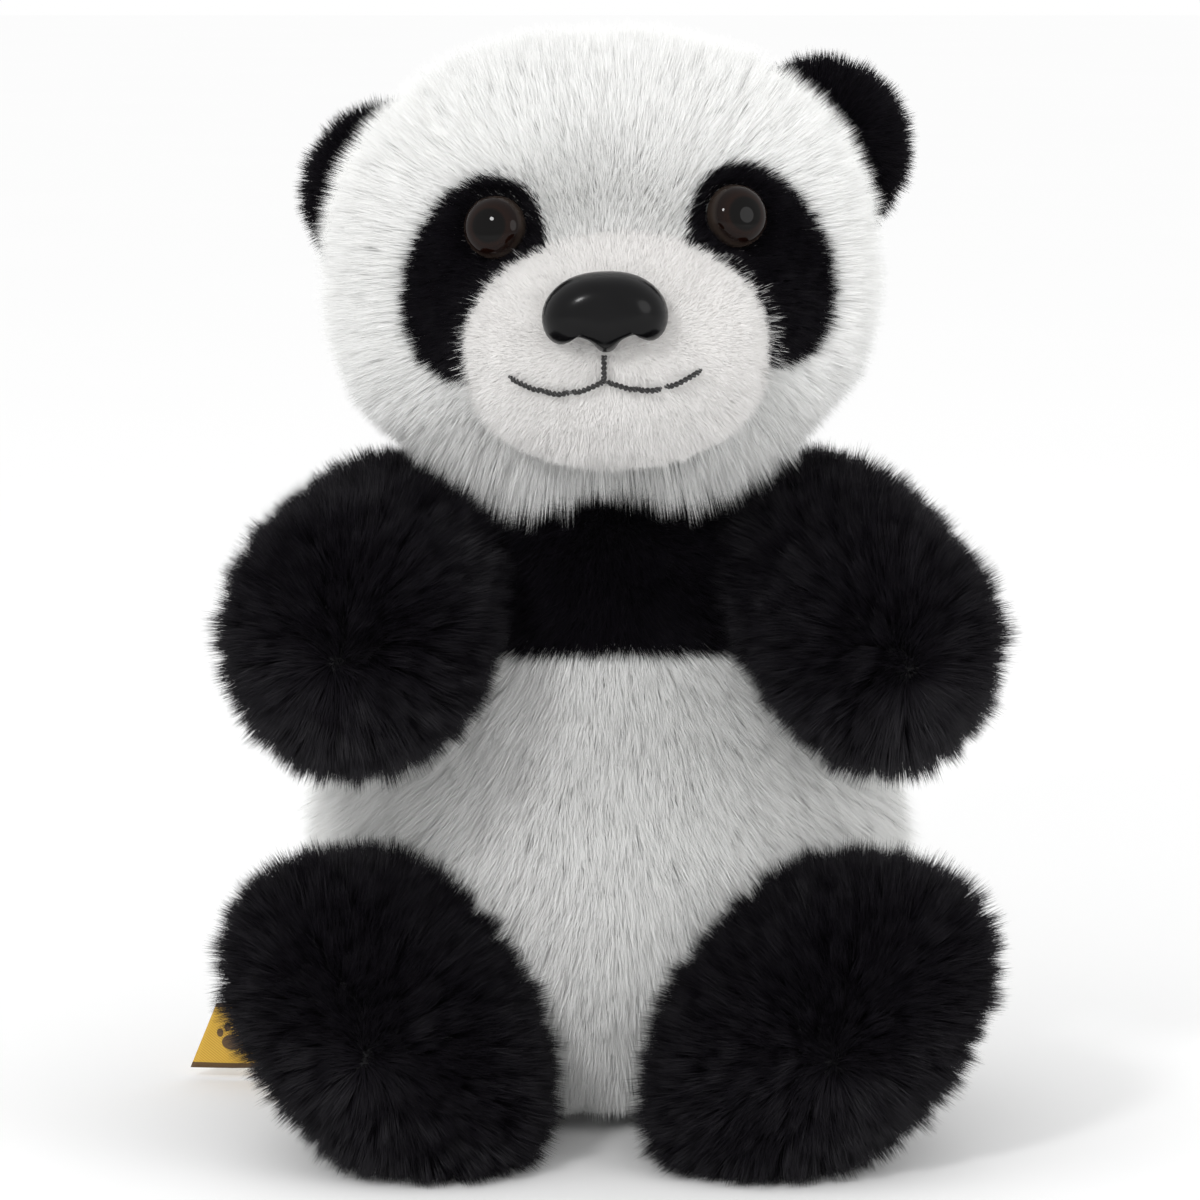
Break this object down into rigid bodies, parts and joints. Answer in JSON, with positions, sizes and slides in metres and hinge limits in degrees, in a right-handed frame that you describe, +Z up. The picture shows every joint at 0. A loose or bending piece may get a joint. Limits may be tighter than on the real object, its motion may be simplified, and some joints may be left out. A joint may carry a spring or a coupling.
{
  "type": "plush panda",
  "caption": "Seated plush panda with a turning, nodding head, soft jointed limbs, glossy eyes and nose, and a woven side label.",
  "frame": {"origin": "middle of the flat seat panel, on the surface that the panda sits on", "axes": "+Z up, the panda faces -Y, its left side is +X"},
  "size_m": [0.1719, 0.1421, 0.2305],
  "materials": {
    "white_pile": "matte",
    "muzzle_pile": "matte",
    "black_pile": "matte",
    "eye_plastic": "gloss",
    "nose_plastic": "gloss",
    "washer_plastic": "satin",
    "black_thread": "matte",
    "filling": "matte",
    "pouch_cloth": "matte",
    "label_cloth": "matte"
  },
  "bodies": {
    "root": {"chest_band_front": "black_pile", "chest_band_back": "black_pile", "belly_panel": "white_pile", "back_panel_left": "white_pile", "back_panel_right": "white_pile", "seat_panel": "white_pile", "torso_stuffing": "filling", "bean_pouch": "pouch_cloth"},
    "neck": {"neck_stuffing": "filling"},
    "head": {"face_panel_left": "white_pile", "face_panel_right": "white_pile", "head_back_panel": "white_pile", "muzzle_panel": "muzzle_pile", "eye_patch_left": "black_pile", "eye_patch_right": "black_pile", "ear_left_front": "black_pile", "ear_left_back": "black_pile", "ear_right_front": "black_pile", "ear_right_back": "black_pile", "eye_left": "eye_plastic", "eye_right": "eye_plastic", "eye_washer_left": "washer_plastic", "eye_washer_right": "washer_plastic", "nose": "nose_plastic", "nose_washer": "washer_plastic", "mouth_stitch_middle": "black_thread", "mouth_stitch_left": "black_thread", "mouth_stitch_right": "black_thread", "head_stuffing": "filling"},
    "arm_left": {"arm_left_upper": "black_pile", "arm_left_under": "black_pile", "arm_left_stuffing": "filling"},
    "arm_right": {"arm_right_upper": "black_pile", "arm_right_under": "black_pile", "arm_right_stuffing": "filling"},
    "leg_left": {"leg_left_outer": "black_pile", "leg_left_inner": "black_pile", "sole_left": "black_pile", "leg_left_stuffing": "filling"},
    "leg_right": {"leg_right_outer": "black_pile", "leg_right_inner": "black_pile", "sole_right": "black_pile", "leg_right_stuffing": "filling"},
    "label": {"side_label": "label_cloth"}
  },
  "joints": [
    {"name": "head_turn", "type": "hinge", "parent": "root", "child": "neck", "pos_m": [0, 0, 0.146], "axis": [0, 0, 1], "range_deg": [-30, 30], "stiffness_Nm_per_rad": 0.15},
    {"name": "head_nod", "type": "hinge", "parent": "neck", "child": "head", "pos_m": [0, 0, 0.146], "axis": [1, 0, 0], "range_deg": [-14, 10], "stiffness_Nm_per_rad": 0.4},
    {"name": "arm_left_swing", "type": "hinge", "parent": "root", "child": "arm_left", "pos_m": [0.044, -0.006, 0.12], "axis": [-0.7071, 0, 0.7071], "range_deg": [-6, 32], "stiffness_Nm_per_rad": 0.06},
    {"name": "arm_right_swing", "type": "hinge", "parent": "root", "child": "arm_right", "pos_m": [-0.044, -0.006, 0.12], "axis": [-0.7071, 0, -0.7071], "range_deg": [-6, 32], "stiffness_Nm_per_rad": 0.06},
    {"name": "leg_left_spread", "type": "hinge", "parent": "root", "child": "leg_left", "pos_m": [0.038, -0.008, 0.03], "axis": [0, 0, 1], "range_deg": [-3, 15], "stiffness_Nm_per_rad": 0.12},
    {"name": "leg_right_spread", "type": "hinge", "parent": "root", "child": "leg_right", "pos_m": [-0.038, -0.008, 0.03], "axis": [0, 0, -1], "range_deg": [-3, 15], "stiffness_Nm_per_rad": 0.12},
    {"name": "label_flap", "type": "hinge", "parent": "root", "child": "label", "pos_m": [-0.051, 0, 0.003], "axis": [-0.518, 0, 0.8554], "range_deg": [-20, 20], "stiffness_Nm_per_rad": 0.0005}
  ]
}
